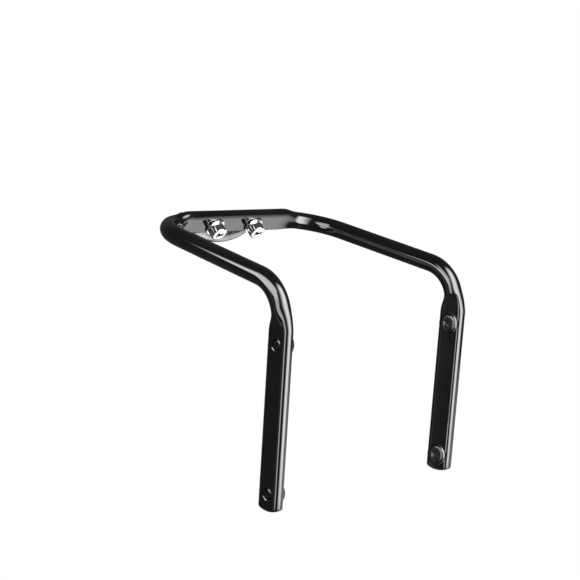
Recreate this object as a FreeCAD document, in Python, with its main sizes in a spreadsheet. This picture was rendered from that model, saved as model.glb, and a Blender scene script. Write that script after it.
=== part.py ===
import FreeCAD, Part
import math
import os
import Sketcher
from FreeCAD import Placement, Rotation, Vector

# Saddle bag stabilizer: a bent aluminium rod, pressed flat across its front and down its legs,
# clamped to two rails by an arched plate and two bolts.
# Axes: +X to the right, +Y forward, +Z up, origin at the middle of the front bar.

doc = FreeCAD.newDocument("saddle_bag_stabilizer")

# Driving dimensions, millimetres and degrees
dimensions = {
    "rod_diameter": 8.5,
    "bar_half_span": 53.0,
    "bar_flat_width": 13.8,
    "bar_flat_thickness": 5.0,
    "bar_tilt": 40.0,
    "corner_radius": 24.5,
    "bar_flat_past_bend": 2.5,
    "bar_taper_length": 11.0,
    "arm_length": 93.5,
    "arm_splay": 4.0,
    "arm_pitch": 15.0,
    "bend_radius": 18.0,
    "leg_taper_length": 11.0,
    "leg_taper_past_bend": 4.0,
    "leg_length": 96.1,
    "leg_lean": 5.7,
    "leg_toe_in": 0.6,
    "leg_flat_width": 12.9,
    "leg_flat_thickness": 5.0,
    "leg_end_radius": 14.0,
    "leg_end_edge": 0.8,
    "bolt_spacing": 26.0,
    "bolt_diameter": 5.0,
    "bolt_length": 9.0,
    "bolt_forward": 0.7,
    "bolt_hole_diameter": 5.5,
    "bolt_head_diameter": 8.0,
    "bolt_head_height": 4.3,
    "bolt_socket_width": 4.0,
    "bolt_socket_depth": 2.3,
    "bolt_edge": 0.5,
    "washer_diameter": 10.0,
    "washer_hole_diameter": 5.3,
    "washer_thickness": 1.0,
    "running_clearance": 0.05,
    "plate_gap": 0.3,
    "plate_thickness": 5.0,
    "plate_length": 55.0,
    "plate_setback": 3.6,
    "plate_top_drop": 0.4,
    "plate_top_reach": 8.0,
    "plate_top_slope": 25.0,
    "plate_pad_margin": 1.0,
    "lip_clearance": 0.8,
    "lip_width": 8.0,
    "lip_depth": 5.54,
    "lip_top_edge": 2.5,
    "lip_arch_radius": 43.5,
    "lip_sweep": 25.0,
    "lip_overrun": 20.0,
    "tool_reach": 100.0,
    "rail_diameter": 7.0,
    "rail_spacing": 44.0,
    "screw_from_bend": 24.5,
    "screw_from_end": 7.6,
    "screw_diameter": 5.0,
    "screw_head_diameter": 10.0,
    "screw_head_height": 1.9,
    "screw_head_rim": 0.4,
    "screw_socket_width": 3.0,
    "screw_socket_depth": 1.3,
    "screw_tip_recess": 0.4,
    "thread_clearance": 0.03,
}
sheet = doc.addObject("Spreadsheet::Sheet", "Dimensions")
for row, (alias, value) in enumerate(dimensions.items(), start=1):
    sheet.set("A%d" % row, alias)
    sheet.set("B%d" % row, str(value))
    sheet.setAlias("B%d" % row, alias)
doc.recompute()


def size(alias):
    return float(sheet.get(alias))


def bound(expression):
    """Expression text with every alias read from the sheet; aliases are written in braces."""
    return expression.replace("{", "Dimensions.").replace("}", "")


def value_of(expression):
    return float(sheet.evalExpression(bound(expression)))


def bind(item, **expressions):
    for name, expression in expressions.items():
        item.setExpression(name, bound(expression))


# Directions on the right-hand half; the left half is its mirror image
across = Vector(1, 0, 0)
splay = math.radians(size("arm_splay"))
pitch = math.radians(size("arm_pitch"))
lean = math.radians(size("leg_lean"))
toe_in = math.radians(size("leg_toe_in"))
arm_direction = Vector(
    math.sin(splay), -math.cos(pitch) * math.cos(splay), -math.sin(pitch) * math.cos(splay))
leg_direction = Vector(
    -math.sin(toe_in), math.sin(lean) * math.cos(toe_in), -math.cos(lean) * math.cos(toe_in))
leg_outward = arm_direction.cross(leg_direction).normalize()
leg_forward = leg_outward.cross(leg_direction).normalize()

# The clamp's own frame: X across, Y forward and down along the bar's flat, Z away from the bolt heads
clamp_turn = Rotation(across, -size("bar_tilt"))
clamp_forward = clamp_turn.multVec(Vector(0, 1, 0))
clamp_up = clamp_turn.multVec(Vector(0, 0, 1))

corner_point = across * size("bar_half_span")
bend_point = corner_point + arm_direction * size("arm_length")
leg_end = bend_point + leg_direction * size("leg_length")


class Bend:
    """Round bend of the rod's centre line between two straight runs."""

    def __init__(self, point, before, after, radius):
        self.radius = radius
        self.after = after
        self.turn = before.getAngle(after)
        self.axis = before.cross(after).normalize()
        self.start = point - before * (radius * math.tan(self.turn / 2))
        self.end = point + after * (radius * math.tan(self.turn / 2))
        self.center = self.start + self.axis.cross(before) * radius

    def rotation(self, angle):
        return Rotation(self.axis, math.degrees(min(angle, self.turn)))

    def point(self, angle):
        """Point of the centre line; past the bend's end the line runs on straight."""
        straight = self.after * (max(angle - self.turn, 0) * self.radius)
        return self.center + self.rotation(angle).multVec(self.start - self.center) + straight


def flat_oval(center, wide, thin, width, thickness):
    """Section of a pressed run: straight sides and round edges."""
    half_flat = wide * ((width - thickness) / 2)
    half_wide = wide * (width / 2)
    half_thin = thin * (thickness / 2)
    corners = [center + half_flat + half_thin, center - half_flat + half_thin,
               center - half_flat - half_thin, center + half_flat - half_thin]
    edges = [
        Part.LineSegment(corners[0], corners[1]),
        Part.Arc(corners[1], center - half_wide, corners[2]),
        Part.LineSegment(corners[2], corners[3]),
        Part.Arc(corners[3], center + half_wide, corners[0]),
    ]
    return Part.Wire([edge.toShape() for edge in edges])


def swollen_oval(center, wide, thin, flatness, width, thickness):
    """Section inside a taper: flatness 0 is the round rod, 1 the pressed run."""
    def between(round_value, flat_value):
        return round_value + (flat_value - round_value) * flatness
    radius = size("rod_diameter") / 2
    diagonal = radius * math.sqrt(0.5)
    corner_wide = wide * between(diagonal, (width - thickness) / 2)
    corner_thin = thin * between(diagonal, thickness / 2)
    side_wide = wide * between(radius, width / 2)
    side_thin = thin * between(radius, thickness / 2)
    corners = [center + corner_wide + corner_thin, center - corner_wide + corner_thin,
               center - corner_wide - corner_thin, center + corner_wide - corner_thin]
    edges = [
        Part.Arc(corners[0], center + side_thin, corners[1]),
        Part.Arc(corners[1], center - side_wide, corners[2]),
        Part.Arc(corners[2], center - side_thin, corners[3]),
        Part.Arc(corners[3], center + side_wide, corners[0]),
    ]
    return Part.Wire([edge.toShape() for edge in edges])


taper_steps = 3


def taper(turning, wide, thin, flat_angle, round_angle, flat_size):
    """Pressed run fading into the round rod; wide and thin hold where the bend starts."""
    turned = turning.rotation(flat_angle)
    sections = [flat_oval(
        turning.point(flat_angle), turned.multVec(wide), turned.multVec(thin), *flat_size)]
    for step in range(1, taper_steps + 1):
        share = step / taper_steps
        angle = flat_angle + (round_angle - flat_angle) * share
        turned = turning.rotation(angle)
        flatness = 1 - share * share * (3 - 2 * share)
        sections.append(swollen_oval(
            turning.point(angle), turned.multVec(wide), turned.multVec(thin), flatness, *flat_size))
    return Part.makeLoft(sections, True, True)


def round_bend(turning, first, last):
    """Round rod between two angles of a bend."""
    start = turning.point(first)
    tangent = turning.axis.cross(start - turning.center)
    circle = Part.Circle(start, tangent, size("rod_diameter") / 2)
    face = Part.Face(Part.Wire(circle.toShape()))
    return face.revolve(turning.center, turning.axis, math.degrees(last - first))


def leg_run(start, flat_size):
    """Pressed leg with its end cut to a shallow arc and its edges broken."""
    section = Part.Face(flat_oval(start, leg_forward, leg_outward, *flat_size))
    radius = size("leg_end_radius")
    arc_center = leg_end - leg_direction * radius
    disc = Part.makeCylinder(
        radius, 2 * radius, arc_center - leg_outward * radius, leg_outward)
    upper = section.extrude(arc_center - start)
    leg = upper.fuse(section.extrude(leg_end - start).common(disc)).removeSplitter()
    end_face = max(leg.Faces, key=lambda face: face.CenterOfMass.dot(leg_direction))
    return leg.makeChamfer(size("leg_end_edge"), end_face.Edges)


def bent_rod():
    bar_size = (size("bar_flat_width"), size("bar_flat_thickness"))
    leg_size = (size("leg_flat_width"), size("leg_flat_thickness"))
    corner = Bend(corner_point, across, arm_direction, size("corner_radius"))
    bend = Bend(bend_point, arm_direction, leg_direction, size("bend_radius"))
    bar = Part.Face(flat_oval(Vector(), clamp_forward, clamp_up, *bar_size)).extrude(corner.start)
    bar_flat_end = size("bar_flat_past_bend") / corner.radius
    bar_taper_end = bar_flat_end + size("bar_taper_length") / corner.radius
    bar_end = Part.Face(flat_oval(corner.start, clamp_forward, clamp_up, *bar_size)).revolve(
        corner.center, corner.axis, math.degrees(bar_flat_end))
    leg_flat_start = bend.turn + size("leg_taper_past_bend") / bend.radius
    leg_taper_start = leg_flat_start - size("leg_taper_length") / bend.radius
    back_turn = bend.rotation(bend.turn).inverted()
    leg_wide = back_turn.multVec(leg_forward)
    leg_thin = back_turn.multVec(leg_outward)
    arm = Part.makeCylinder(
        size("rod_diameter") / 2, (bend.start - corner.end).Length, corner.end, arm_direction)
    right = bar.multiFuse([
        bar_end,
        taper(corner, clamp_forward, clamp_up, bar_flat_end, bar_taper_end, bar_size),
        round_bend(corner, bar_taper_end, corner.turn),
        arm,
        round_bend(bend, 0, leg_taper_start),
        taper(bend, leg_wide, leg_thin, leg_flat_start, leg_taper_start, leg_size),
        leg_run(bend.point(leg_flat_start), leg_size),
    ])
    return right.fuse(right.mirror(Vector(), across))


def cylinder(name, position, direction, radius, height):
    """Cylinder whose axis passes through position, half of its height on each side."""
    item = doc.addObject("Part::Cylinder", name)
    bind(item, Radius=radius, Height=height)
    doc.recompute()
    base = position - direction * (item.Height.Value / 2)
    item.Placement = Placement(base, Rotation(Vector(0, 0, 1), direction))
    return item


def cut(label, base, tools):
    joined = doc.addObject("Part::MultiFuse", label + "_openings")
    joined.Shapes = tools
    result = doc.addObject("Part::Cut", label)
    result.Base = base
    result.Tool = joined
    result.Label = label
    return result


def at_clamp(x, y, z):
    return clamp_turn.multVec(Vector(x, y, z))


def at_bolt(side, z):
    return at_clamp(side * size("bolt_spacing") / 2, size("bolt_forward"), z)


def on_side(side, vector):
    return Vector(side * vector.x, vector.y, vector.z)


sides = {"left": -1, "right": 1}
levels = {
    "upper": bend_point + leg_direction * size("screw_from_bend"),
    "lower": leg_end - leg_direction * size("screw_from_end"),
}
half_bar = size("bar_flat_thickness") / 2
screw_seats = {}
for side_name, side in sides.items():
    for level_name, seat in levels.items():
        screw_seats[side_name + "_" + level_name] = (on_side(side, seat), on_side(side, leg_outward))

# Bent frame: the pressed rod, drilled for the clamp bolts and tapped for the leg screws
pressed_rod = doc.addObject("Part::Feature", "PressedRod")
pressed_rod.Shape = bent_rod()
frame_holes = []
for side_name, side in sides.items():
    frame_holes.append(cylinder(
        "BoltHole_" + side_name, at_bolt(side, 0), clamp_up,
        "{bolt_hole_diameter} / 2", "2 * {bar_flat_thickness}"))
for name, (seat, outward) in screw_seats.items():
    frame_holes.append(cylinder(
        "ScrewHole_" + name, seat, outward,
        "{screw_diameter} / 2 + {thread_clearance}", "2 * {leg_flat_thickness}"))
bent_frame = cut("bent_frame", pressed_rod, frame_holes)


def outline(sketch, points):
    """Closed outline through points, each held to the origin by expressions for its x and y."""
    values = [[value_of(text) for text in point] for point in points]
    count = len(points)
    for index in range(count):
        first, last = values[index], values[(index + 1) % count]
        sketch.addGeometry(Part.LineSegment(Vector(*first, 0), Vector(*last, 0)))
    for index in range(count):
        sketch.addConstraint(Sketcher.Constraint("Coincident", index, 2, (index + 1) % count, 1))
    for index, point in enumerate(points):
        for kind, axis, text, value in (
                ("DistanceX", -2, point[0], values[index][0]),
                ("DistanceY", -1, point[1], values[index][1])):
            if text == "0":
                sketch.addConstraint(Sketcher.Constraint("PointOnObject", index, 1, axis))
            else:
                number = sketch.addConstraint(
                    Sketcher.Constraint(kind, -1, 1, index, 1, value))
                sketch.setExpression("Constraints[%d]" % number, bound(text))


def new_body(label):
    body = doc.addObject("PartDesign::Body", label)
    body.Label = label
    return body


def new_sketch(body, name, role):
    sketch = body.newObject("Sketcher::SketchObject", name)
    plane = [item for item in body.Origin.OriginFeatures if item.Role == role][0]
    sketch.AttachmentSupport = [(plane, "")]
    sketch.MapMode = "FlatFace"
    return sketch


def turned(body, points):
    """Revolution of an outline of radius and height about the body's Z axis."""
    sketch = new_sketch(body, body.Name + "_outline", "XZ_Plane")
    outline(sketch, points)
    feature = body.newObject("PartDesign::Revolution", body.Name + "_turned")
    feature.Profile = sketch
    feature.ReferenceAxis = (sketch, ["V_Axis"])
    feature.Angle = 360
    doc.recompute()
    return feature


def hexagon(sketch, width):
    """Regular hexagon about the origin, its width across flats given by an expression."""
    radius = value_of(width) / math.sqrt(3)
    corners = [Vector(radius * math.cos(math.radians(60 * step)),
                      radius * math.sin(math.radians(60 * step)), 0) for step in range(6)]
    for step in range(6):
        sketch.addGeometry(Part.LineSegment(corners[step], corners[(step + 1) % 6]))
    circle = sketch.addGeometry(Part.Circle(Vector(), Vector(0, 0, 1), radius), True)
    sketch.addConstraint(Sketcher.Constraint("Coincident", circle, 3, -1, 1))
    for step in range(6):
        sketch.addConstraint(Sketcher.Constraint("Coincident", step, 2, (step + 1) % 6, 1))
        sketch.addConstraint(Sketcher.Constraint("PointOnObject", step, 1, circle))
        if step:
            sketch.addConstraint(Sketcher.Constraint("Equal", 0, step))
    sketch.addConstraint(Sketcher.Constraint("PointOnObject", 0, 1, -1))
    number = sketch.addConstraint(Sketcher.Constraint("Radius", circle, radius))
    sketch.setExpression("Constraints[%d]" % number, bound("(" + width + ") / sqrt(3)"))


def hex_socket(body, width, depth):
    """Hexagon socket sunk from the body's XY plane upwards."""
    before = body.Shape.Volume
    sketch = new_sketch(body, body.Name + "_hexagon", "XY_Plane")
    hexagon(sketch, width)
    pocket = body.newObject("PartDesign::Pocket", body.Name + "_socket")
    pocket.Profile = sketch
    pocket.Reversed = True
    bind(pocket, Length=depth)
    doc.recompute()
    if body.Shape.Volume >= before:
        raise RuntimeError("the socket of %s cuts nothing" % body.Label)


# Socket cap bolts of the clamp, from the socket's mouth to the threaded end
head_radius = "{bolt_head_diameter} / 2"
bolt_radius = "{bolt_diameter} / 2"
bolt_end = "{bolt_head_height} + {bolt_length}"
bolt_outline = [
    ("0", "0"),
    (head_radius + " - {bolt_edge}", "0"),
    (head_radius, "{bolt_edge}"),
    (head_radius, "{bolt_head_height}"),
    (bolt_radius, "{bolt_head_height}"),
    (bolt_radius, bolt_end + " - {bolt_edge}"),
    (bolt_radius + " - {bolt_edge}", bolt_end),
    ("0", bolt_end),
]
nodes = [bent_frame]
head_top = -(half_bar + size("washer_thickness") + size("running_clearance") + size("bolt_head_height"))
for side_name, side in sides.items():
    bolt = new_body("clamp_bolt_" + side_name)
    turned(bolt, bolt_outline)
    hex_socket(bolt, "{bolt_socket_width}", "{bolt_socket_depth}")
    bolt.Placement = Placement(at_bolt(side, head_top), clamp_turn)
    nodes.append(bolt)

# Flat washers between the bar and the bolt heads
washer_bottom = -(half_bar + size("washer_thickness"))
for side_name, side in sides.items():
    washer = new_body("clamp_washer_" + side_name)
    ring = new_sketch(washer, washer.Name + "_ring", "XY_Plane")
    for diameter in ("washer_diameter", "washer_hole_diameter"):
        circle = ring.addGeometry(Part.Circle(Vector(), Vector(0, 0, 1), size(diameter) / 2))
        ring.addConstraint(Sketcher.Constraint("Coincident", circle, 3, -1, 1))
        number = ring.addConstraint(Sketcher.Constraint("Diameter", circle, size(diameter)))
        ring.setExpression("Constraints[%d]" % number, bound("{" + diameter + "}"))
    pad = washer.newObject("PartDesign::Pad", washer.Name + "_pad")
    pad.Profile = ring
    bind(pad, Length="{washer_thickness}")
    washer.Placement = Placement(at_bolt(side, washer_bottom), clamp_turn)
    nodes.append(washer)

# Low-head screws in the legs, heads on the inner faces
screw_radius = "{screw_diameter} / 2"
screw_end = "{screw_head_height} + {leg_flat_thickness} - {screw_tip_recess}"
crown_bevel = "({screw_head_height} - {screw_head_rim})"
crown_radius = "{screw_head_diameter} / 2"
screw_outline = [
    ("0", "0"),
    (crown_radius + " - " + crown_bevel, "0"),
    (crown_radius, crown_bevel),
    (crown_radius, "{screw_head_height}"),
    (screw_radius, "{screw_head_height}"),
    (screw_radius, screw_end),
    ("0", screw_end),
]
head_back = size("leg_flat_thickness") / 2 + size("screw_head_height")
for name, (seat, outward) in screw_seats.items():
    screw = new_body("leg_screw_" + name)
    turned(screw, screw_outline)
    hex_socket(screw, "{screw_socket_width}", "{screw_socket_depth}")
    screw.Placement = Placement(seat - outward * head_back, Rotation(Vector(0, 0, 1), outward))
    nodes.append(screw)

# Rail clamp plate: an arched lip in front of the bar, joined to a flat pad on the bar
def box(name, corner, turn, length, width, height):
    item = doc.addObject("Part::Box", name)
    bind(item, Length=length, Width=width, Height=height)
    item.Placement = Placement(corner, turn)
    return item


lip_rear = "{bar_flat_width} / 2 + {lip_clearance}"
lip_middle = lip_rear + " + {lip_width} / 2"
lip_front = lip_rear + " + {lip_width}"
lip_top = "{bar_flat_thickness} / 2 + {plate_gap} + {plate_thickness}"
nose_height = "{bar_flat_thickness} / 2 + {plate_gap} - {lip_depth} + {lip_width} / 2"
nose_side = "{lip_width} / 2 * sin(45 deg)"
section = doc.addObject("Sketcher::SketchObject", "LipSection")
outline(section, [
    (lip_rear, nose_height),
    (lip_middle + " - " + nose_side, nose_height + " - " + nose_side),
    (lip_middle, nose_height + " - {lip_width} / 2"),
    (lip_middle + " + " + nose_side, nose_height + " - " + nose_side),
    (lip_front, nose_height),
    (lip_front, lip_top + " - {lip_top_edge}"),
    (lip_front + " - {lip_top_edge}", lip_top),
    (lip_rear, lip_top),
])
section.Placement = Placement(Vector(), Rotation(clamp_forward, clamp_up, across, "ZXY"))
# The lip rises and sweeps back towards its ends
sweep = Rotation(across, size("lip_sweep"))
nose_bottom = at_clamp(0, value_of(lip_middle), value_of(nose_height) - size("lip_width") / 2)
arch = doc.addObject("Part::Revolution", "LipArch")
arch.Source = section
arch.Base = nose_bottom + sweep.multVec(clamp_up) * size("lip_arch_radius")
arch.Axis = sweep.multVec(clamp_forward)
arch.Solid = True
arch.Symmetric = True
bind(arch, Angle="2 * asin({plate_length} / {lip_arch_radius} / 2) + {lip_overrun} * 1 deg")
pad_length = "{bolt_spacing} + {bolt_diameter} + 2 * {plate_pad_margin}"
pad = box(
    "PlatePad", at_clamp(-value_of(pad_length) / 2, -size("plate_setback"), half_bar + size("plate_gap")),
    clamp_turn, pad_length, "{plate_setback} + " + lip_middle, "{plate_thickness}")
padded = doc.addObject("Part::MultiFuse", "PlatePadded")
padded.Shapes = [arch, pad]
doc.recompute()

# Its top is planed level, a little under the bar's upper edge, and its ends upright
bar_top = half_bar + (size("bar_flat_width") / 2 - half_bar) * math.sin(math.radians(size("bar_tilt")))
plate_top = bar_top - size("plate_top_drop")
reach = size("tool_reach")
below_top = box(
    "PlateBelowTop", Vector(-size("plate_length") / 2, -reach / 2, plate_top - reach), Rotation(),
    "{plate_length}", "{tool_reach}", "{tool_reach}")
blank = doc.addObject("Part::MultiCommon", "PlateBlank")
blank.Shapes = [padded, below_top]
doc.recompute()

# The front of its top slopes down; then come the bolt threads and a notch for each rail, open to the bar
top_turn = Rotation(across, -size("plate_top_slope"))
top_edge = Vector(0, size("plate_top_reach"), plate_top)
plate_openings = [box(
    "PlateTopSlope", top_edge - top_turn.multVec(Vector(reach / 2, reach / 2, 0)), top_turn,
    "{tool_reach}", "{tool_reach}", "{tool_reach}")]
rail_height = half_bar + size("rail_diameter") / 2
for side_name, side in sides.items():
    plate_openings.append(cylinder(
        "PlateThread_" + side_name, at_bolt(side, 0), clamp_up,
        "{bolt_diameter} / 2 + {running_clearance}", "{tool_reach}"))
    plate_openings.append(cylinder(
        "RailGroove_" + side_name, at_clamp(side * size("rail_spacing") / 2, 0, rail_height),
        clamp_forward, "{rail_diameter} / 2", "{tool_reach}"))
    notch_left = side * size("rail_spacing") / 2 - size("rail_diameter") / 2
    plate_openings.append(box(
        "RailNotch_" + side_name, at_clamp(notch_left, -reach / 2, rail_height - reach), clamp_turn,
        "{rail_diameter}", "{tool_reach}", "{tool_reach}"))
rail_clamp_plate = cut("rail_clamp_plate", blank, plate_openings)
nodes.append(rail_clamp_plate)

doc.recompute()
for item in doc.Objects:
    if "Invalid" in item.State or "Error" in item.State:
        raise RuntimeError("%s is %s" % (item.Label, item.State))
for node in nodes:
    if node.Shape.isNull() or not node.Shape.isValid() or len(node.Shape.Solids) != 1:
        raise RuntimeError("%s has no single valid solid" % node.Label)
os.makedirs("parts", exist_ok=True)
for node in nodes:
    node.Shape.exportStep("parts/%s.step" % node.Label)
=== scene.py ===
import math

import bmesh
import bpy
from mathutils import Matrix, Vector


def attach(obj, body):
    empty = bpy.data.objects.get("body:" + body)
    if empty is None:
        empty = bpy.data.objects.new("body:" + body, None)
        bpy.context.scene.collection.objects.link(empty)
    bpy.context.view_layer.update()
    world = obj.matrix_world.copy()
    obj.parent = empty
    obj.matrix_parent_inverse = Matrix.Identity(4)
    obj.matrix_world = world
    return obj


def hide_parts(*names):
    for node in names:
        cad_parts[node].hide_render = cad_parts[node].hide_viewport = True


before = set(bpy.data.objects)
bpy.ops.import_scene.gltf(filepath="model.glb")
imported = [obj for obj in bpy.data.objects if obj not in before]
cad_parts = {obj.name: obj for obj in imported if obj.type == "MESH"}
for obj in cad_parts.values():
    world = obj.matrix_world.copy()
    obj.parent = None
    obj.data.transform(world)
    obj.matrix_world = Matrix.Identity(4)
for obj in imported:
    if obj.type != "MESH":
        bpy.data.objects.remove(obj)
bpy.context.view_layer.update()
scene = bpy.context.scene
mm = 0.001
mergeDistance = 1e-3


def plug(tree, socket, value):
    if isinstance(value, Wire):
        tree.links.new(value.socket, socket)
    else:
        socket.default_value = value


class Wire:
    # a shader socket that can be added, multiplied and so on
    def __init__(self, tree, socket=None):
        self.tree = tree
        self.socket = socket

    def node(self, kind, settings, values, output=0):
        made = self.tree.nodes.new(kind)
        for name, value in settings.items():
            setattr(made, name, value)
        for name, value in values.items():
            plug(self.tree, made.inputs[name], value)
        return Wire(self.tree, made.outputs[output] if made.outputs else None)

    def maths(self, operation, *terms):
        return self.node("ShaderNodeMath", {"operation": operation}, dict(enumerate(terms)))

    def __add__(self, other):
        return self.maths("ADD", self, other)

    def __radd__(self, other):
        return self.maths("ADD", other, self)

    def __sub__(self, other):
        return self.maths("SUBTRACT", self, other)

    def __rsub__(self, other):
        return self.maths("SUBTRACT", other, self)

    def __mul__(self, other):
        return self.maths("MULTIPLY", self, other)

    def __rmul__(self, other):
        return self.maths("MULTIPLY", other, self)

    def __abs__(self):
        return self.maths("ABSOLUTE", self)

    def step(self, low, high):
        # 0 under low, 1 over high, smooth between
        return self.node(
            "ShaderNodeMapRange", {"interpolation_type": "SMOOTHSTEP"},
            {"Value": self, "From Min": low, "From Max": high})

    def mixed(self, first, second):
        # colour between two colours, this wire being the share of the second;
        # the mix node's colour sockets share their names, so they go by number
        return self.node(
            "ShaderNodeMix", {"data_type": "RGBA"}, {0: self, 6: first, 7: second}, 2)

    def noise(self, scale, detail):
        return self.node(
            "ShaderNodeTexNoise", {}, {"Vector": self, "Scale": scale, "Detail": detail})

    def bump(self, strength, depth):
        return self.node(
            "ShaderNodeBump", {}, {"Height": self, "Strength": strength, "Distance": depth})


def newMaterial(name, space="Object"):
    material = bpy.data.materials.new(name)
    material.use_nodes = True
    tree = material.node_tree
    shader = tree.nodes["Principled BSDF"]
    coords = Wire(tree).node("ShaderNodeTexCoord", {}, {}, space)
    return material, shader, coords


def feed(shader, **inputs):
    for name, value in inputs.items():
        plug(shader.id_data, shader.inputs[name.replace("_", " ")], value)


# finishes, lengths in metres

paintLook = {
    "black": (0.0008, 0.0008, 0.0009, 1), "worn": (0.0018, 0.0018, 0.002, 1),
    "wornFrom": 0.35, "wornTo": 0.75, "cloudScale": 70, "cloudDetail": 5,
    "roughness": 0.3, "spread": 0.1, "underShine": 0.0,
    "coat": 1.0, "coatRoughness": 0.03, "coatIor": 1.55,
    "peelScale": 420, "peelDetail": 2, "peelStrength": 0.08, "peelDepth": 0.000004,
}


def blackPaint():
    # only the clear coat shines, and it has a faint orange peel
    look = paintLook
    material, shader, coords = newMaterial("glossBlackPaint")
    cloud = coords.noise(look["cloudScale"], look["cloudDetail"])
    peel = coords.noise(look["peelScale"], look["peelDetail"])
    worn = cloud.step(look["wornFrom"], look["wornTo"])
    feed(shader,
         Base_Color=worn.mixed(look["black"], look["worn"]),
         Roughness=cloud * look["spread"] + look["roughness"],
         Specular_IOR_Level=look["underShine"],
         Coat_Weight=look["coat"], Coat_Roughness=look["coatRoughness"], Coat_IOR=look["coatIor"],
         Normal=peel.bump(look["peelStrength"], look["peelDepth"]))
    return material


steelLook = {
    "bright": (0.62, 0.61, 0.60, 1), "dull": (0.46, 0.46, 0.46, 1), "dullFrom": 0.4, "dullTo": 0.7,
    "stainScale": 420, "stainDetail": 6, "roughness": 0.04, "spread": 0.06,
    "scuffScale": 2600, "scuffDetail": 3, "scuffStrength": 0.12, "scuffDepth": 0.00002,
}


def brightSteel():
    look = steelLook
    material, shader, coords = newMaterial("brightSteel")
    stain = coords.noise(look["stainScale"], look["stainDetail"])
    scuff = coords.noise(look["scuffScale"], look["scuffDetail"])
    dull = stain.step(look["dullFrom"], look["dullTo"])
    feed(shader,
         Base_Color=dull.mixed(look["bright"], look["dull"]),
         Metallic=1.0, Roughness=stain * look["spread"] + look["roughness"],
         Normal=scuff.bump(look["scuffStrength"], look["scuffDepth"]))
    return material


plateLook = {
    "pale": (0.27, 0.27, 0.265, 1), "grey": (0.20, 0.20, 0.20, 1), "greyFrom": 0.35, "greyTo": 0.7,
    "cloudScale": 160, "cloudDetail": 5, "cloudShare": 0.6, "grainShare": 0.4,
    "roughness": 0.14, "spread": 0.08,
    "brush": (60, 2400, 2400), "grainScale": 1.0, "grainDetail": 4,
    "grainStrength": 0.03, "grainDepth": 0.00002,
}


def brightPlate():
    # brushed along its length
    look = plateLook
    material, shader, coords = newMaterial("polishedPlate")
    brushed = coords.node("ShaderNodeMapping", {}, {"Vector": coords, "Scale": look["brush"]})
    grain = brushed.noise(look["grainScale"], look["grainDetail"])
    cloud = coords.noise(look["cloudScale"], look["cloudDetail"])
    tone = cloud * look["cloudShare"] + grain * look["grainShare"]
    grey = tone.step(look["greyFrom"], look["greyTo"])
    feed(shader,
         Base_Color=grey.mixed(look["pale"], look["grey"]),
         Metallic=1.0, Roughness=grain * look["spread"] + look["roughness"],
         Normal=grain.bump(look["grainStrength"], look["grainDepth"]))
    return material


screwLook = {
    "black": (0.05, 0.05, 0.051, 1), "bare": (0.09, 0.09, 0.093, 1),
    "bareFrom": 0.5, "bareTo": 0.75, "cloudScale": 500, "cloudDetail": 6,
    "roughness": 0.20, "spread": 0.10,
    "gritScale": 3200, "gritDetail": 2, "gritStrength": 0.15, "gritDepth": 0.00002,
}


def blackSteel():
    look = screwLook
    material, shader, coords = newMaterial("blackSteel")
    cloud = coords.noise(look["cloudScale"], look["cloudDetail"])
    grit = coords.noise(look["gritScale"], look["gritDetail"])
    bare = cloud.step(look["bareFrom"], look["bareTo"])
    feed(shader,
         Base_Color=bare.mixed(look["black"], look["bare"]),
         Metallic=1.0, Roughness=cloud * look["spread"] + look["roughness"],
         Normal=grit.bump(look["gritStrength"], look["gritDepth"]))
    return material


finishes = {
    "black_paint": blackPaint(), "bright_steel": brightSteel(),
    "bright_plate": brightPlate(), "black_steel": blackSteel(),
}
print("finishes made:", ", ".join(finishes))


# mesh helpers

def steps(count):
    return [index / count for index in range(1, count + 1)]


def ringEdges(ring):
    members = set(ring)
    return [edge for edge in {edge for vert in ring for edge in vert.link_edges}
            if edge.verts[0] in members and edge.verts[1] in members]


def bridge(bm, first, second):
    bmesh.ops.bridge_loops(bm, edges=ringEdges(first) + ringEdges(second))


def axisPlace(center, way):
    # stands the Z axis at center, pointing that way
    return Matrix.Translation(center) @ way.to_track_quat("Z", "Y").to_matrix().to_4x4()


def outlineReach(kind, size, angle, index):
    # distance of an outline's point from the axis, a hexagon's size being across its flats
    if kind == "hex":
        return size / 2 / math.cos((angle + math.pi / 6) % (math.pi / 3) - math.pi / 6)
    if kind == "knurl" and index % 2:
        return size - boltShape["knurl"]
    return size


def turnedSolid(bm, rings, around, place, closed=False):
    # turned from (radius, height) or (kind, size, height) rings in their order,
    # where a ring of no size comes to a point
    loops = []
    for ring in rings:
        kind, size, height = ring if len(ring) == 3 else ("round", *ring)
        loop = bmesh.ops.create_circle(bm, segments=around, radius=1)["verts"]
        for index, vert in enumerate(loop):
            angle = math.atan2(vert.co.y, vert.co.x)
            reach = outlineReach(kind, max(size, mergeDistance / 10), angle, index)
            vert.co = Vector((math.cos(angle) * reach, math.sin(angle) * reach, height))
        if loops:
            bridge(bm, loops[-1], loop)
        loops.append(loop)
    if closed:
        bridge(bm, loops[-1], loops[0])
    verts = [vert for loop in loops for vert in loop]
    bmesh.ops.transform(bm, matrix=place, verts=verts)
    bmesh.ops.remove_doubles(bm, verts=verts, dist=mergeDistance)


def addPin(bm, center, way, radius, reach, around):
    rings = [(0, -reach), (radius, -reach), (radius, reach), (0, reach)]
    turnedSolid(bm, rings, around, axisPlace(center, way))


def addBox(bm, corner, axes, sizes):
    cube = bmesh.ops.create_cube(bm, size=1)["verts"]
    bmesh.ops.translate(bm, vec=(0.5, 0.5, 0.5), verts=cube)
    bmesh.ops.scale(bm, vec=sizes, verts=cube)
    bmesh.ops.transform(bm, matrix=Matrix.Translation(corner) @ axes.to_4x4(), verts=cube)


def meshObject(name, bm):
    mesh = bpy.data.meshes.new(name)
    bm.to_mesh(mesh)
    bm.free()
    made = bpy.data.objects.new(name, mesh)
    scene.collection.objects.link(made)
    return made


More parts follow.
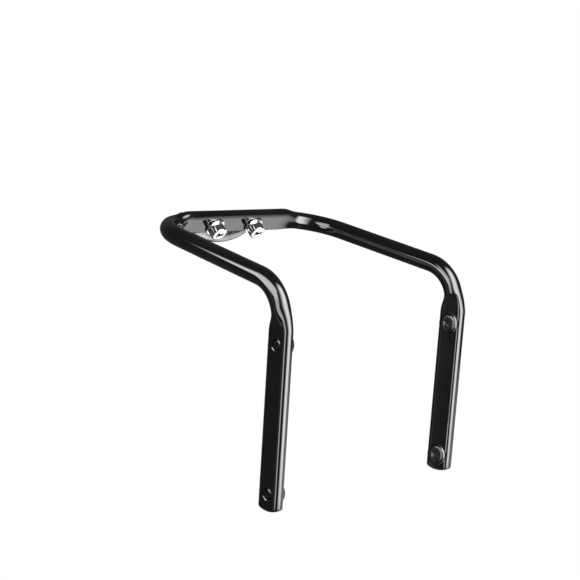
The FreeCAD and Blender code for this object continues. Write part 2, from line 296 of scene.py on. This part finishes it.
def solidObject(name, bm):
    # from millimetres to metres
    bmesh.ops.recalc_face_normals(bm, faces=bm.faces)
    bmesh.ops.scale(bm, vec=(mm, mm, mm), verts=bm.verts)
    return meshObject(name, bm)


def combine(base, cuts):
    # runs (operation, tool) booleans on base, one after the other, and removes the tools
    for operation, tool in cuts:
        joint = base.modifiers.new(tool.name, "BOOLEAN")
        joint.operation, joint.solver, joint.object = operation, "EXACT", tool
    depsgraph = bpy.context.evaluated_depsgraph_get()
    made = bpy.data.meshes.new_from_object(base.evaluated_get(depsgraph))
    base.modifiers.clear()
    base.data = made
    for operation, tool in cuts:
        bpy.data.objects.remove(tool)


def finishPiece(piece, body, slot, replaced, sharpAngle):
    piece.data.shade_smooth()
    piece.data.set_sharp_from_angle(angle=math.radians(sharpAngle))
    piece.data.materials.clear()
    piece.data.materials.append(finishes[slot])
    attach(piece, body)
    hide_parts(replaced)


# the bent rod, millimetres and degrees

rodShape = {
    "diameter": 8.5, "barSpan": 53.0, "barWidth": 13.8, "barThickness": 5.0, "barTilt": 40.0,
    "cornerRadius": 24.5, "barFlatPast": 2.5, "barTaper": 11.0,
    "armLength": 93.5, "armSplay": 4.0, "armPitch": 15.0,
    "bendRadius": 18.0, "legTaper": 11.0, "legTaperPast": 4.0, "innerStep": (0.16, 0.38),
    "legLength": 96.1, "legLean": 5.7, "legToeIn": 0.6,
    "legWidth": 12.9, "legThickness": 5.0, "endRadius": 14.0, "endEdge": 0.8,
    "boltSpacing": 26.0, "boltForward": 0.7, "boltHole": 5.5,
    "screwFromEnd": 7.6, "screwSpacing": 64.0, "screwHole": 5.06, "holeEdge": 0.35,
    "around": 128, "holeAround": 64, "sharpAngle": 32,
    "rings": {"bar": 8, "barFlat": 4, "barTaper": 16, "corner": 14, "arm": 12, "bend": 14,
              "legTaper": 30, "leg": 18, "endEdge": 5, "endFace": 4},
}

across = Vector((1, 0, 0))
angleNames = ("barTilt", "armSplay", "armPitch", "legLean", "legToeIn")
tilt, splay, pitch, lean, toeIn = (math.radians(rodShape[key]) for key in angleNames)
clampForward = Vector((0, math.cos(tilt), -math.sin(tilt)))
clampUp = Vector((0, math.sin(tilt), math.cos(tilt)))
armWay = Vector((
    math.sin(splay), -math.cos(pitch) * math.cos(splay), -math.sin(pitch) * math.cos(splay)))
legWay = Vector((
    -math.sin(toeIn), math.sin(lean) * math.cos(toeIn), -math.cos(lean) * math.cos(toeIn)))
legOutward = armWay.cross(legWay).normalized()
legForward = legOutward.cross(legWay).normalized()
cornerPoint = across * rodShape["barSpan"]
bendPoint = cornerPoint + armWay * rodShape["armLength"]
legEnd = bendPoint + legWay * rodShape["legLength"]


class Bend:
    # round turn of the rod's centre line
    def __init__(self, point, before, after, radius):
        self.radius = radius
        self.after = after
        self.turn = before.angle(after)
        self.axis = before.cross(after).normalized()
        reach = radius * math.tan(self.turn / 2)
        self.start = point - before * reach
        self.end = point + after * reach
        self.center = self.start + self.axis.cross(before) * radius

    def rotation(self, angle):
        return Matrix.Rotation(min(angle, self.turn), 3, self.axis)

    def at(self, angle):
        # runs on straight past the bend's end
        straight = self.after * (max(angle - self.turn, 0) * self.radius)
        return self.center + self.rotation(angle) @ (self.start - self.center) + straight


def pressedOutline(angle, width, thickness):
    # point of a flat oval that belongs to an angle of the round rod
    quarter = math.pi / 4
    halfFlat = (width - thickness) / 2
    radius = thickness / 2
    angle = (angle + quarter) % (2 * math.pi) - quarter
    side, rest = divmod(angle + quarter, 2 * quarter)
    share = rest / (2 * quarter)
    turned = math.pi * (share - 0.5)
    if side == 0:
        return halfFlat + radius * math.cos(turned), radius * math.sin(turned)
    if side == 1:
        return halfFlat * (1 - 2 * share), radius
    if side == 2:
        return -halfFlat - radius * math.cos(turned), -radius * math.sin(turned)
    return halfFlat * (2 * share - 1), -radius


def rodRing(bm, center, wide, thin, flatness, innerFlatness, width, thickness):
    # flatness 0 is the round rod, 1 the pressed one; the inner face may be pressed further
    radius = rodShape["diameter"] / 2
    ring = bmesh.ops.create_circle(bm, segments=rodShape["around"], radius=1)["verts"]
    for vert in ring:
        angle = math.atan2(vert.co.y, vert.co.x)
        flatSpot = Vector(pressedOutline(angle, width, thickness))
        roundSpot = Vector((math.cos(angle), math.sin(angle))) * radius
        spot = roundSpot.lerp(flatSpot, flatness)
        if spot.y < 0:
            spot.y = roundSpot.lerp(flatSpot, innerFlatness).y
        vert.co = center + wide * spot.x + thin * spot.y
    return ring


def smoothShare(share):
    return share * share * (3 - 2 * share)


def dropToArc(ring, wide):
    # bends a flat ring at the leg's end to the arc that the end is cut to
    radius = rodShape["endRadius"]
    for vert in ring:
        offset = (vert.co - legEnd).dot(wide)
        vert.co -= legWay * (radius - math.sqrt(radius * radius - offset * offset))


def rodRings(bm):
    # one half of the rod, from the bar's middle to the leg's end
    shape, count = rodShape, rodShape["rings"]
    barSize = (shape["barWidth"], shape["barThickness"])
    legSize = (shape["legWidth"], shape["legThickness"])
    corner = Bend(cornerPoint, across, armWay, shape["cornerRadius"])
    bend = Bend(bendPoint, armWay, legWay, shape["bendRadius"])
    flatEnd = shape["barFlatPast"] / corner.radius
    taperEnd = flatEnd + shape["barTaper"] / corner.radius
    legFlat = bend.turn + shape["legTaperPast"] / bend.radius
    taperStart = legFlat - shape["legTaper"] / bend.radius
    back = bend.rotation(bend.turn).inverted()
    legWide, legThin = back @ legForward, back @ legOutward
    rings = []

    def add(center, wide, thin, flatness, size, innerFlatness=None):
        inner = flatness if innerFlatness is None else innerFlatness
        rings.append(rodRing(bm, center, wide, thin, flatness, inner, *size))

    def addTurned(bent, angle, wide, thin, flatness, size, innerFlatness=None):
        turned = bent.rotation(angle)
        add(bent.at(angle), turned @ wide, turned @ thin, flatness, size, innerFlatness)

    for share in [0] + steps(count["bar"]):
        add(corner.start * share, clampForward, clampUp, 1, barSize)
    for share in steps(count["barFlat"]):  # the flat runs on into the corner
        addTurned(corner, flatEnd * share, clampForward, clampUp, 1, barSize)
    for share in steps(count["barTaper"]):
        angle = flatEnd + (taperEnd - flatEnd) * share
        addTurned(corner, angle, clampForward, clampUp, 1 - smoothShare(share), barSize)
    for share in steps(count["corner"]):
        angle = taperEnd + (corner.turn - taperEnd) * share
        addTurned(corner, angle, clampForward, clampUp, 0, barSize)

    lastTurn = corner.rotation(corner.turn)
    wide, thin = lastTurn @ clampForward, lastTurn @ clampUp
    twist = math.atan2(wide.cross(legWide).dot(armWay), wide.dot(legWide))
    for share in steps(count["arm"]):  # twists unseen to the leg's flat
        turned = Matrix.Rotation(twist * share, 3, armWay)
        add(corner.end.lerp(bend.start, share), turned @ wide, turned @ thin, 0, legSize)

    for share in steps(count["bend"]):
        addTurned(bend, taperStart * share, legWide, legThin, 0, legSize)
    stepStart, stepEnd = shape["innerStep"]
    for share in steps(count["legTaper"]):
        angle = taperStart + (legFlat - taperStart) * share
        stepShare = min(max((share - stepStart) / (stepEnd - stepStart), 0), 1)
        inner = max(smoothShare(share), smoothShare(stepShare))
        addTurned(bend, angle, legWide, legThin, smoothShare(share), legSize, inner)

    wide, thin = legForward, legOutward
    firstFlat, lastFlat = bend.at(legFlat), legEnd - legWay * (shape["legWidth"] / 2)
    for share in steps(count["leg"]):
        add(firstFlat.lerp(lastFlat, share), wide, thin, 1, legSize)
    edge = shape["endEdge"]
    for share in [0] + steps(count["endEdge"]):
        inset = edge * (1 - math.cos(share * math.pi / 2))
        behind = edge * (1 - math.sin(share * math.pi / 2))
        add(legEnd - legWay * behind, wide, thin, 1, [value - 2 * inset for value in legSize])
        dropToArc(rings[-1], wide)
    for share in steps(count["endFace"]):  # closed along its middle
        add(legEnd, wide, thin, 1, [value - 2 * edge for value in legSize])
        for vert in rings[-1]:
            vert.co -= thin * ((vert.co - legEnd).dot(thin) * share)
        dropToArc(rings[-1], wide)
    return rings


def boltSpot(side):
    return across * (side * rodShape["boltSpacing"] / 2) + clampForward * rodShape["boltForward"]


def screwSpot(row, side):
    # middle of a leg's screw hole and the way out of the leg, row 0 being the lower one
    mirror = Vector((side, 1, 1))
    fromEnd = rodShape["screwFromEnd"] + row * rodShape["screwSpacing"]
    return (legEnd - legWay * fromEnd) * mirror, legOutward * mirror


def holeCutters():
    shape = rodShape
    radius, edge = shape["screwHole"] / 2, shape["holeEdge"]
    thick, face = shape["legThickness"], shape["legThickness"] / 2
    screwHole = [(0, -thick), (radius, -thick), (radius, face - edge),
                 (radius + 2 * edge, face + edge), (0, face + edge)]
    bm = bmesh.new()
    for side in (-1, 1):
        addPin(bm, boltSpot(side), clampUp, shape["boltHole"] / 2, shape["barThickness"],
               shape["holeAround"])
        for row in (0, 1):
            turnedSolid(bm, screwHole, shape["holeAround"], axisPlace(*screwSpot(row, side)))
    return solidObject("holeCutters", bm)


def bentRod():
    bm = bmesh.new()
    rings = rodRings(bm)
    for first, second in zip(rings, rings[1:]):
        bridge(bm, first, second)
    bmesh.ops.remove_doubles(bm, verts=bm.verts, dist=mergeDistance)
    half = bm.verts[:] + bm.edges[:] + bm.faces[:]
    bmesh.ops.mirror(bm, geom=half, matrix=Matrix(), merge_dist=mergeDistance, axis="X")
    rod = solidObject("bentRod", bm)
    combine(rod, [("DIFFERENCE", holeCutters())])
    finishPiece(rod, "frame", "black_paint", "bent_frame", rodShape["sharpAngle"])
    print("rod:", len(rod.data.vertices), "points")


bentRod()


# bolts, washers and screws; a bolt's rings run from its socket's floor over the head to the tip,
# and of two numbers the first goes across and the second along; edgeMiddle is in shares of edge

boltShape = {
    "headDiameter": 8.0, "headHeight": 4.3, "diameter": 5.0, "length": 9.0, "clearance": 0.05,
    "socket": 4.0, "socketDepth": 2.3, "socketCone": 0.5, "socketEdge": (0.4, 0.2),
    "edge": 0.5, "edgeMiddle": (0.35, 0.4), "faceRim": (0.35, 0.06), "underEdge": (0.15, 0.4),
    "knurl": 0.03, "knurlStart": 0.35, "knurlEnd": 0.7, "around": 96, "sharpAngle": 28,
}


def clampBolt(name, side):
    shape = boltShape
    head, shank, edge = shape["headDiameter"] / 2, shape["diameter"] / 2, shape["edge"]
    height, end = shape["headHeight"], shape["headHeight"] + shape["length"]
    socket, depth = shape["socket"], shape["socketDepth"]
    socketWider, socketEdge = shape["socketEdge"]
    middleAcross, middleAlong = shape["edgeMiddle"]
    rimWidth, rimHeight = shape["faceRim"]
    underWidth, underHeight = shape["underEdge"]
    rings = [
        (0, depth + shape["socketCone"]), ("hex", socket, depth), ("hex", socket, socketEdge),
        ("hex", socket + socketWider, 0), (head - edge - rimWidth, 0), (head - edge, rimHeight),
        (head - edge * middleAcross, edge * middleAlong), (head, edge),
        ("knurl", head, edge + shape["knurlStart"]), ("knurl", head, height - shape["knurlEnd"]),
        (head, height - underHeight), (head - underWidth, height), (shank, height),
        (shank, end - edge), (shank - edge, end), (0, end)]
    seat = rodShape["barThickness"] / 2 + washerShape["thickness"] + shape["clearance"]
    face = boltSpot(side) - clampUp * (seat + height)
    bm = bmesh.new()
    turnedSolid(bm, rings, shape["around"], axisPlace(face, clampUp))
    bolt = solidObject("capBolt." + name, bm)
    finishPiece(bolt, "bolt_" + name, "bright_steel", "clamp_bolt_" + name, shape["sharpAngle"])


washerShape = {
    "diameter": 10.0, "hole": 5.3, "thickness": 1.0, "edge": 0.35, "around": 80, "sharpAngle": 28,
}


def clampWasher(name, side):
    shape = washerShape
    outer, inner = shape["diameter"] / 2, shape["hole"] / 2
    thick, edge = shape["thickness"], shape["edge"]
    rings = [
        (inner, edge), (inner + edge, 0), (outer - edge, 0), (outer, edge),
        (outer, thick - edge), (outer - edge, thick), (inner + edge, thick), (inner, thick - edge)]
    face = boltSpot(side) - clampUp * (rodShape["barThickness"] / 2 + thick)
    bm = bmesh.new()
    turnedSolid(bm, rings, shape["around"], axisPlace(face, clampUp), closed=True)
    washer = solidObject("flatWasher." + name, bm)
    finishPiece(washer, "frame", "bright_steel", "clamp_washer_" + name, shape["sharpAngle"])


screwShape = {
    "head": 10.0, "headHeight": 1.9, "rim": 0.4, "underEdge": 0.1, "crownWidth": 2.2,
    "crownRings": 8, "crownLift": 0.001, "diameter": 5.0, "edge": 0.6, "tipRecess": 0.15,
    "socket": 3.0, "socketDepth": 1.3, "socketCone": 0.3, "socketEdge": (0.3, 0.16),
    "around": 72, "sharpAngle": 28,
}


def legScrew(name, row, side):
    shape = screwShape
    head, height, under = shape["head"] / 2, shape["headHeight"], shape["underEdge"]
    shank, edge = shape["diameter"] / 2, shape["edge"]
    end = height + rodShape["legThickness"] - shape["tipRecess"]
    socket, depth = shape["socket"], shape["socketDepth"]
    socketWider, socketEdge = shape["socketEdge"]
    rings = [(0, depth + shape["socketCone"]), ("hex", socket, depth), ("hex", socket, socketEdge),
             ("hex", socket + socketWider, 0)]
    for share in [0] + steps(shape["crownRings"]):
        angle = share * math.pi / 2
        crown = (height - shape["rim"]) * (1 - math.cos(angle)) + shape["crownLift"]
        rings.append((head - shape["crownWidth"] * (1 - math.sin(angle)), crown))
    rings += [(head, height - under), (head - under, height), (shank, height),
              (shank, end - edge), (shank - edge, end), (0, end)]
    middle, outward = screwSpot(row, side)
    face = middle - outward * (rodShape["legThickness"] / 2 + height)
    bm = bmesh.new()
    turnedSolid(bm, rings, shape["around"], axisPlace(face, outward))
    screw = solidObject("lowScrew." + name, bm)
    finishPiece(screw, "frame", "black_steel", "leg_screw_" + name, shape["sharpAngle"])


for sideName, side in (("left", -1), ("right", 1)):
    clampBolt(sideName, side)
    clampWasher(sideName, side)
    for rowName, row in (("upper", 1), ("lower", 0)):
        legScrew(sideName + "_" + rowName, row, side)
print("clamp hardware and leg screws made")


# arched clamp plate, its section drawn across the clamp and turned about the arch's tilted axis

plateShape = {
    "length": 55.0, "thickness": 5.0, "gap": 0.3, "setback": 3.6, "padMargin": 1.0,
    "lipClearance": 0.8, "lipWidth": 8.0, "lipDepth": 5.54, "lipTopEdge": 2.5, "noseSteps": 28,
    "archRadius": 43.5, "archSweep": 25.0, "archOverrun": 20.0, "archRings": 64,
    "topDrop": 0.4, "topReach": 8.0, "topSlope": 25.0, "endRound": 3.5, "endRoundSteps": 6,
    "rail": 7.0, "railSpacing": 44.0, "thread": 5.1, "holeAround": 64, "toolReach": 100.0,
    "sharpAngle": 30,
}

halfBar = rodShape["barThickness"] / 2
plateUnder = halfBar + plateShape["gap"]
barTop = halfBar + (rodShape["barWidth"] / 2 - halfBar) * math.sin(tilt)
plateTop = barTop - plateShape["topDrop"]
lipRear = rodShape["barWidth"] / 2 + plateShape["lipClearance"]
railHeight = halfBar + plateShape["rail"] / 2
clampAxes = Matrix((across, clampForward, clampUp)).transposed()


def atClamp(x, y, z):
    return across * x + clampForward * y + clampUp * z


def lipArch():
    shape = plateShape
    half, topEdge = shape["lipWidth"] / 2, shape["lipTopEdge"]
    front, top = lipRear + 2 * half, plateUnder + shape["thickness"]
    nose = plateUnder - shape["lipDepth"] + half
    outline = []
    for share in [0] + steps(shape["noseSteps"]):
        angle = math.pi * share
        outline.append((lipRear + half - half * math.cos(angle), nose - half * math.sin(angle)))
    outline += [(front, top - topEdge), (front - topEdge, top), (lipRear, top)]

    sweep = Matrix.Rotation(math.radians(shape["archSweep"]), 3, across)
    center = atClamp(0, lipRear + half, nose - half) + sweep @ clampUp * shape["archRadius"]
    overrun = math.radians(shape["archOverrun"]) / 2
    reach = math.asin(shape["length"] / shape["archRadius"] / 2) + overrun
    bm = bmesh.new()
    rings = []
    for share in [0] + steps(shape["archRings"]):
        ring = bmesh.ops.create_circle(bm, segments=len(outline), radius=1)["verts"]
        turned = Matrix.Rotation((2 * share - 1) * reach, 3, sweep @ clampForward)
        for vert, spot in zip(ring, outline):
            vert.co = center + turned @ (atClamp(0, *spot) - center)
        if rings:
            bridge(bm, rings[-1], ring)
        rings.append(ring)
    for ring in (rings[0], rings[-1]):
        bmesh.ops.edgeloop_fill(bm, edges=ringEdges(ring))
    return solidObject("archedPlate", bm)


def platePad():
    shape = plateShape
    length = rodShape["boltSpacing"] + boltShape["diameter"] + 2 * shape["padMargin"]
    width = shape["setback"] + lipRear + shape["lipWidth"] / 2
    bm = bmesh.new()
    addBox(bm, atClamp(-length / 2, -shape["setback"], plateUnder), clampAxes,
           (length, width, shape["thickness"]))
    return solidObject("platePad", bm)


def plateBlank():
    # level top and upright ends, with the upper corners rounded
    shape = plateShape
    length, reach = shape["length"], shape["toolReach"]
    bm = bmesh.new()
    addBox(bm, Vector((-length / 2, -reach / 2, plateTop - reach)), Matrix.Identity(3),
           (length, reach, reach))
    topSides = [edge for edge in bm.edges
                if all(abs(vert.co.z - plateTop) < mergeDistance for vert in edge.verts)
                and abs(edge.verts[0].co.x - edge.verts[1].co.x) < mergeDistance]
    bmesh.ops.bevel(bm, geom=topSides, offset=shape["endRound"], segments=shape["endRoundSteps"],
                    profile=0.5, affect="EDGES", material=-1)
    return solidObject("plateBlank", bm)


def plateSlope():
    # the top falls away towards the front
    reach = plateShape["toolReach"]
    slope = Matrix.Rotation(-math.radians(plateShape["topSlope"]), 3, across)
    topEdge = Vector((0, plateShape["topReach"], plateTop))
    bm = bmesh.new()
    addBox(bm, topEdge - slope @ Vector((reach / 2, reach / 2, 0)), slope, (reach, reach, reach))
    return solidObject("plateSlope", bm)


def plateThreads():
    shape = plateShape
    bm = bmesh.new()
    for side in (-1, 1):
        addPin(bm, boltSpot(side), clampUp, shape["thread"] / 2, shape["toolReach"],
               shape["holeAround"])
    return solidObject("plateThreads", bm)


def railGrooves():
    shape = plateShape
    bm = bmesh.new()
    for side in (-1, 1):
        rail = atClamp(side * shape["railSpacing"] / 2, 0, railHeight)
        addPin(bm, rail, clampForward, shape["rail"] / 2, shape["toolReach"], shape["holeAround"])
    return solidObject("railGrooves", bm)


def railNotches():
    # open the grooves towards the bar
    shape = plateShape
    reach = shape["toolReach"]
    bm = bmesh.new()
    for side in (-1, 1):
        left = side * shape["railSpacing"] / 2 - shape["rail"] / 2
        addBox(bm, atClamp(left, -reach / 2, railHeight - reach), clampAxes,
               (shape["rail"], reach, reach))
    return solidObject("railNotches", bm)


def clampPlate():
    plate = lipArch()
    combine(plate, [
        ("UNION", platePad()), ("INTERSECT", plateBlank()), ("DIFFERENCE", plateSlope()),
        ("DIFFERENCE", plateThreads()), ("DIFFERENCE", railGrooves()),
        ("DIFFERENCE", railNotches())])
    finishPiece(plate, "clamp_plate", "bright_plate", "rail_clamp_plate", plateShape["sharpAngle"])
    print("clamp plate:", len(plate.data.vertices), "points")


clampPlate()


# floor, light and camera, in metres

floorLook = {
    "middle": (0.70, -0.43), "radius": 0.76, "solid": 0.64, "level": -0.42, "around": 96,
    "tone": (0.86, 0.845, 0.885, 1), "roughness": 0.9, "glow": 1.5,
}


def paleFloor():
    # fades out towards its rim
    look = floorLook
    middle = Vector((*look["middle"], look["level"]))
    bm = bmesh.new()
    bmesh.ops.create_circle(bm, cap_ends=True, segments=look["around"], radius=look["radius"])
    bmesh.ops.translate(bm, vec=middle, verts=bm.verts)
    floor = meshObject("paleFloor", bm)
    material, shader, coords = newMaterial("palePaper")
    distance = coords.node(
        "ShaderNodeVectorMath", {"operation": "DISTANCE"}, {0: coords, 1: middle}, "Value")
    feed(shader, Base_Color=look["tone"], Roughness=look["roughness"],
         Alpha=1 - distance.step(look["solid"], look["radius"]),
         Emission_Color=look["tone"], Emission_Strength=look["glow"])
    floor.data.materials.append(material)


paleFloor()

# soft light cards: where each hangs, the way from the object to its back, half its width and
# height, and how wide its edge fades
lightCards = {
    "near": {"middle": (-0.138, -0.057, 0.019), "azimuth": 167.4, "elevation": 63.3, "roll": 18.3,
             "half": (0.078, 0.033), "soft": 0.021, "glow": 10.0},
    "front": {"middle": (0.000, -0.342, 0.031), "azimuth": 270.6, "elevation": 9.2, "roll": -16.1,
              "half": (0.130, 0.345), "soft": 0.230, "glow": 14.5},
    "far": {"middle": (-2.471, 1.596, -0.416), "azimuth": 186.2, "elevation": -35.8, "roll": 13.9,
            "half": (0.196, 2.097), "soft": 0.397, "glow": 1.0},
    "side": {"middle": (-1.251, -0.125, -0.274), "azimuth": 223.0, "elevation": 29.4, "roll": 57.8,
             "half": (1.001, 0.260), "soft": 0.179, "glow": 7.0},
    "low": {"middle": (-0.27, -0.60, -0.40), "azimuth": 247.0, "elevation": -31.0, "roll": 0.0,
            "half": (0.14, 0.08), "soft": 0.05, "glow": 4.0},
}


def lightCard(name):
    card = lightCards[name]
    azimuth, elevation, roll = (
        math.radians(card[key]) for key in ("azimuth", "elevation", "roll"))
    sideways = Vector((-math.sin(azimuth), math.cos(azimuth), 0))
    back = Vector((
        math.cos(azimuth) * math.cos(elevation), math.sin(azimuth) * math.cos(elevation),
        math.sin(elevation)))
    axes = Matrix((sideways, back.cross(sideways), back)).transposed()
    axes = axes @ Matrix.Rotation(roll, 3, "Z")
    place = Matrix.Translation(card["middle"]) @ axes.to_4x4()
    reach = [half + card["soft"] / 2 for half in card["half"]]
    bm = bmesh.new()
    bm.loops.layers.uv.new("card")
    bmesh.ops.create_grid(bm, x_segments=1, y_segments=1, size=1, calc_uvs=True)
    bmesh.ops.scale(bm, vec=(*reach, 1), verts=bm.verts)
    bmesh.ops.transform(bm, matrix=place, verts=bm.verts)
    piece = meshObject("lightCard." + name, bm)
    piece.visible_camera = False
    material, shader, coords = newMaterial("lightCard." + name, "UV")
    lit = []
    for axis, far in zip("XY", reach):
        along = coords.node("ShaderNodeSeparateXYZ", {}, {"Vector": coords}, axis)
        lit.append(1 - abs(along * (2 * far) - far).step(far - card["soft"], far))
    feed(shader, Base_Color=(0, 0, 0, 1), Roughness=1.0, Specular_IOR_Level=0.0,
         Alpha=lit[0] * lit[1], Emission_Color=(1, 1, 1, 1), Emission_Strength=card["glow"])
    piece.data.materials.append(material)


for cardName in lightCards:
    lightCard(cardName)

studio = {"dark": 0.107, "page": 1.0}


def studioWorld():
    # dim all round, white behind the object
    world = bpy.data.worlds.new("studio")
    scene.world = world
    world.use_nodes = True
    world.node_tree.nodes.clear()
    wire = Wire(world.node_tree)
    seen = wire.node("ShaderNodeLightPath", {}, {}, "Is Camera Ray")
    glow = wire.node("ShaderNodeBackground", {}, {
        "Color": (1, 1, 1, 1),
        "Strength": seen * (studio["page"] - studio["dark"]) + studio["dark"]})
    wire.node("ShaderNodeOutputWorld", {}, {"Surface": glow})


studioWorld()

# the focal length is in pixels of the page
lens = {
    "place": (-0.49123, -0.49769, 0.02066), "way": (0.7279, 0.6813, -0.0777),
    "roll": -0.00483, "focal": 1441.68, "page": 580, "sensor": 36.0, "nearest": 0.01,
}


def photoCamera():
    data = bpy.data.cameras.new("photoCamera")
    data.sensor_width = lens["sensor"]
    data.lens = lens["focal"] / lens["page"] * lens["sensor"]
    data.dof.use_dof = False
    data.clip_start = lens["nearest"]
    camera = bpy.data.objects.new("photoCamera", data)
    scene.collection.objects.link(camera)
    way = Vector(lens["way"]).normalized()
    right = way.cross(Vector((0, 0, 1))).normalized()
    up = right.cross(way)
    turned = math.cos(lens["roll"]), math.sin(lens["roll"])
    axes = Matrix((
        right * turned[0] + up * turned[1], up * turned[0] - right * turned[1], -way)).transposed()
    camera.matrix_world = Matrix.Translation(lens["place"]) @ axes.to_4x4()
    scene.camera = camera


photoCamera()
scene.view_settings.view_transform = "Standard"
print("floor, light and camera set")
